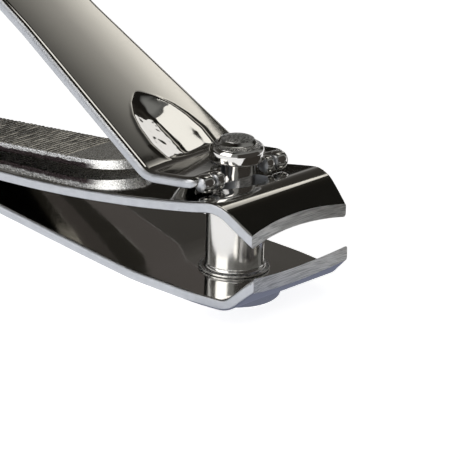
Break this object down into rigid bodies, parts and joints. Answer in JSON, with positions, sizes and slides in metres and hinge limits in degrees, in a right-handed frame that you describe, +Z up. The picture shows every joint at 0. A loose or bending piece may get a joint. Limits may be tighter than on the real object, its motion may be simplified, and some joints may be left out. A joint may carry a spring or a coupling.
{
  "type": "nail clipper",
  "caption": "Fingernail clipper: two spring plates with hollow cutting edges, a forked lever on a pin, and a swing-out file on a tubular rear rivet.",
  "frame": {"origin": "middle of the pin's flat base, the lowest face of the clipper", "axes": "+X towards the cutting edges, +Z up along the pin, +Y to the left when looking from the rear towards the cutting edges"},
  "size_m": [0.0547, 0.0142, 0.029],
  "materials": {
    "plates": "polished, satin ground edges",
    "pin": "polished",
    "lever": "polished",
    "file": "cut teeth, plated",
    "rivet": "polished"
  },
  "bodies": {
    "lower_jaw": {"lower_jaw": "plates"},
    "upper_jaw": {"upper_jaw": "plates", "rear_rivet": "rivet", "file_washer": "rivet"},
    "pin": {"pin": "pin"},
    "lever": {"lever": "lever"},
    "nail_file": {"nail_file": "file"}
  },
  "joints": [
    {"name": "lever_press", "type": "hinge", "parent": "lower_jaw", "child": "lever", "pos_m": [0, 0, 0.0112], "axis": [0, -1, 0], "range_deg": [0, 21.4], "stiffness_Nm_per_rad": 0.16},
    {"name": "jaw_close", "type": "hinge", "parent": "lower_jaw", "child": "upper_jaw", "pos_m": [-0.0393, 0, 0.00417], "axis": [0, 1, 0], "range_deg": [0, 3.02]},
    {"name": "pin_spin", "type": "hinge", "parent": "lower_jaw", "child": "pin", "pos_m": [0, 0, 0.001], "axis": [0, 0, 1], "continuous": true},
    {"name": "file_swing", "type": "hinge", "parent": "upper_jaw", "child": "nail_file", "pos_m": [-0.0422, 0, 0.0058], "axis": [0, 0, 1], "range_deg": [-180, 180]}
  ],
  "couplings": [
    {"joint": "jaw_close", "follows": "lever_press", "ratio": 0.1411}
  ]
}
